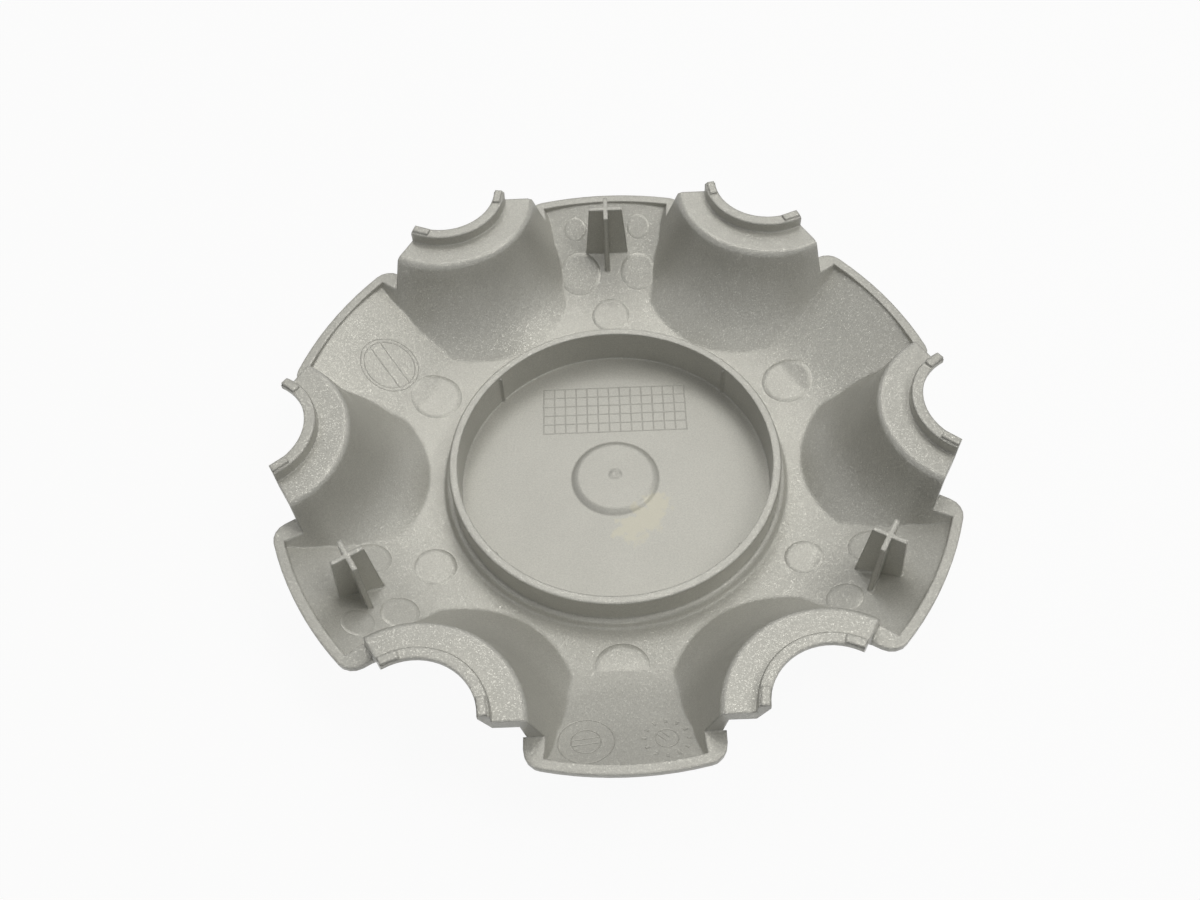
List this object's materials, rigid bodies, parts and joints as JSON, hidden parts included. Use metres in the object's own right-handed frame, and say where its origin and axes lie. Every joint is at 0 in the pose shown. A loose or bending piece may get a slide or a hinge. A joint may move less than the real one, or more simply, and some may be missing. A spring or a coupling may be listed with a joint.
{
  "type": "wheel centre cap",
  "caption": "Moulded plastic centre cap for a wheel, seen from its hollow back: a shallow dish with a low middle ring, notched cups round the stud places, and short cross-shaped posts.",
  "frame": {"origin": "on the cap's own axis, in the plane of its front face", "axes": "+Z along the cap's axis, out of its hollow back, towards the wheel; +Y through one post"},
  "size_m": [0.1292, 0.1354, 0.0258],
  "materials": {
    "silver_plastic": "satin silver grey with fine flake"
  },
  "bodies": {
    "root": {"wheel_cap": "silver_plastic"}
  },
  "joints": []
}
